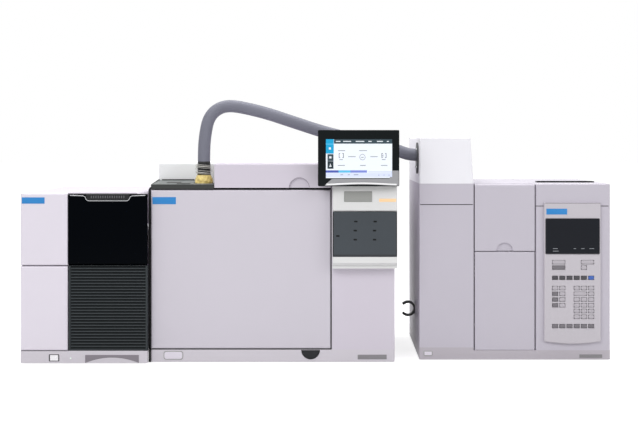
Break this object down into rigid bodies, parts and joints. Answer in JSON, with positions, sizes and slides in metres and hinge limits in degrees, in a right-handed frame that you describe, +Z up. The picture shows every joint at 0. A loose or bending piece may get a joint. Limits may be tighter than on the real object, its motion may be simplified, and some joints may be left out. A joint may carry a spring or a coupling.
{
  "type": "gas chromatograph",
  "caption": "Bench gas chromatograph with oven, touch screen and heated transfer hose, joined to a mass detector on its left and a headspace sampler on its right",
  "frame": {"origin": "on the bench, under the middle of the set's bounding box", "axes": "+X to the user's right, +Y to the back, +Z up; the user stands at -Y"},
  "size_m": [1.406, 0.575, 0.6272],
  "materials": {
    "cover_paint": "satin",
    "base_paint": "satin",
    "panel_plastic": "satin",
    "rear_paint": "satin",
    "black_gloss": "gloss",
    "black_plastic": "satin",
    "screen_case": "satin",
    "screen_face": "gloss",
    "smoked_plastic": "gloss",
    "tray_plastic": "matte",
    "galvanised": "satin",
    "oven_steel": "satin",
    "oven_skin": "satin",
    "mineral_wool": "matte",
    "heater_wire": "satin",
    "motor_paint": "satin",
    "coated_silica": "gloss",
    "bright_steel": "polished",
    "cast_aluminium": "satin",
    "pump_steel": "satin",
    "boot_yellow": "satin",
    "sleeve_black": "matte",
    "hose_grey": "satin",
    "flange_dark": "satin",
    "key_light": "satin",
    "key_dark": "satin",
    "carousel_plastic": "satin",
    "vial_glass": "gloss",
    "foot_rubber": "matte",
    "label_blue": "satin",
    "label_grey": "satin",
    "trim_silver": "satin",
    "key_blue": "satin",
    "screen_picture": "satin",
    "lamp_amber": "gloss",
    "lamp_green": "gloss"
  },
  "bodies": {
    "frame": {"capillary_column": "coated_silica", "gc_base_tray": "base_paint", "gc_chassis": "galvanised", "gc_column_cover": "cover_paint", "gc_front_module": "panel_plastic", "gc_inlet_port": "bright_steel", "gc_inlet_tray": "tray_plastic", "gc_rear_panel": "rear_paint", "gc_rear_top_cover": "cover_paint", "hs_base_tray": "base_paint", "hs_console": "panel_plastic", "hs_display": "screen_face", "hs_left_cover": "cover_paint", "hs_line_clip": "flange_dark", "hs_lower_panel": "panel_plastic", "hs_rear_panel": "rear_paint", "hs_right_cover": "cover_paint", "hs_tower": "cover_paint", "hs_vial_bay": "cover_paint", "line_boot": "boot_yellow", "line_flange": "flange_dark", "line_sleeve": "sleeve_black", "ms_base_tray": "base_paint", "ms_interface_tube": "bright_steel", "ms_louvre_panel": "black_plastic", "ms_lower_panel": "panel_plastic", "ms_quadrupole": "bright_steel", "ms_rear_panel": "rear_paint", "ms_turbo_pump": "pump_steel", "ms_upper_panel": "panel_plastic", "ms_vacuum_manifold": "cast_aluminium", "ms_wrap_cover": "cover_paint", "oven_fan_motor": "motor_paint", "oven_heater": "heater_wire", "oven_insulation": "mineral_wool", "oven_liner": "oven_steel", "rubber_feet": "foot_rubber", "screen_glass": "screen_face", "screen_housing": "screen_case", "transfer_hose": "hose_grey"},
    "window_cover": {"ms_window_cover": "black_gloss"},
    "window_latch": {"ms_latch_button": "black_gloss"},
    "ms_rocker": {"ms_power_rocker": "panel_plastic"},
    "turbo_rotor": {"ms_turbo_rotor": "cast_aluminium"},
    "vent_knob": {"ms_vent_knob": "black_plastic"},
    "oven_door": {"oven_door_panel": "cover_paint", "oven_door_plug": "oven_skin"},
    "door_latch": {"oven_door_latch": "black_plastic"},
    "power_button": {"gc_power_button": "panel_plastic"},
    "detector_lid": {"gc_detector_lid": "cover_paint"},
    "smoked_hatch": {"gc_smoked_hatch": "smoked_plastic"},
    "vent_flap": {"oven_vent_flap": "galvanised"},
    "fan": {"oven_fan": "oven_steel"},
    "sampler_power_button": {"hs_power_button": "panel_plastic"},
    "tray_flap": {"hs_tray_flap": "panel_plastic"},
    "carousel": {"hs_carousel": "carousel_plastic", "hs_vials": "vial_glass"},
    "command_keys": {"hs_command_keys": "key_light"},
    "menu_keys": {"hs_menu_keys": "key_dark"},
    "number_keys": {"hs_number_keys": "key_dark"}
  },
  "joints": [
    {"name": "window_tilt", "type": "hinge", "parent": "frame", "child": "window_cover", "pos_m": [0, -0.247, 0.241], "axis": [1, 0, 0], "range_deg": [0, 30]},
    {"name": "window_latch_push", "type": "slide", "parent": "window_cover", "child": "window_latch", "axis": [0, 1, 0], "range_m": [0, 0.003], "stiffness_N_per_m": 800},
    {"name": "ms_rocker_tilt", "type": "hinge", "parent": "frame", "child": "ms_rocker", "pos_m": [-0.6235, -0.2515, 0.0145], "axis": [0, 0, 1], "range_deg": [-6, 6]},
    {"name": "turbo_spin", "type": "hinge", "parent": "frame", "child": "turbo_rotor", "pos_m": [-0.5, -0.083, 0.15], "axis": [0, 0, 1], "continuous": true},
    {"name": "vent_knob_turn", "type": "hinge", "parent": "frame", "child": "vent_knob", "pos_m": [-0.545, -0.2134, 0.265], "axis": [0, -1, 0], "range_deg": [0, 350]},
    {"name": "oven_door_swing", "type": "hinge", "parent": "frame", "child": "oven_door", "pos_m": [-0.391, -0.229, 0.222], "axis": [0, 0, -1], "range_deg": [0, 90]},
    {"name": "door_latch_push", "type": "slide", "parent": "frame", "child": "door_latch", "axis": [0, 1, 0], "range_m": [0, 0.004], "stiffness_N_per_m": 600},
    {"name": "power_button_push", "type": "slide", "parent": "frame", "child": "power_button", "axis": [0, 1, 0], "range_m": [0, 0.003], "stiffness_N_per_m": 600},
    {"name": "detector_lid_lift", "type": "hinge", "parent": "frame", "child": "detector_lid", "pos_m": [-0.108, 0.003, 0.462], "axis": [-1, 0, 0], "range_deg": [0, 15]},
    {"name": "smoked_hatch_lift", "type": "hinge", "parent": "frame", "child": "smoked_hatch", "pos_m": [0.11, -0.2595, 0.358], "axis": [-1, 0, 0], "range_deg": [0, 70]},
    {"name": "vent_flap_lift", "type": "hinge", "parent": "frame", "child": "vent_flap", "pos_m": [-0.182, 0.274, 0.363], "axis": [1, 0, 0], "range_deg": [0, 45]},
    {"name": "oven_fan_spin", "type": "hinge", "parent": "frame", "child": "fan", "pos_m": [-0.182, 0.02, 0.222], "axis": [0, 1, 0], "continuous": true},
    {"name": "sampler_power_push", "type": "slide", "parent": "frame", "child": "sampler_power_button", "axis": [0, 1, 0], "range_m": [0, 0.003], "stiffness_N_per_m": 600},
    {"name": "tray_flap_lift", "type": "hinge", "parent": "frame", "child": "tray_flap", "pos_m": [0.4495, -0.189, 0.4185], "axis": [-1, 0, 0], "range_deg": [0, 85]},
    {"name": "carousel_turn", "type": "hinge", "parent": "frame", "child": "carousel", "pos_m": [0.4495, -0.1075, 0.3], "axis": [0, 0, 1], "continuous": true},
    {"name": "command_keys_push", "type": "slide", "parent": "frame", "child": "command_keys", "axis": [0, 1, 0], "range_m": [0, 0.001], "stiffness_N_per_m": 2000},
    {"name": "menu_keys_push", "type": "slide", "parent": "frame", "child": "menu_keys", "axis": [0, 1, 0], "range_m": [0, 0.001], "stiffness_N_per_m": 2000},
    {"name": "number_keys_push", "type": "slide", "parent": "frame", "child": "number_keys", "axis": [0, 1, 0], "range_m": [0, 0.001], "stiffness_N_per_m": 2000}
  ]
}
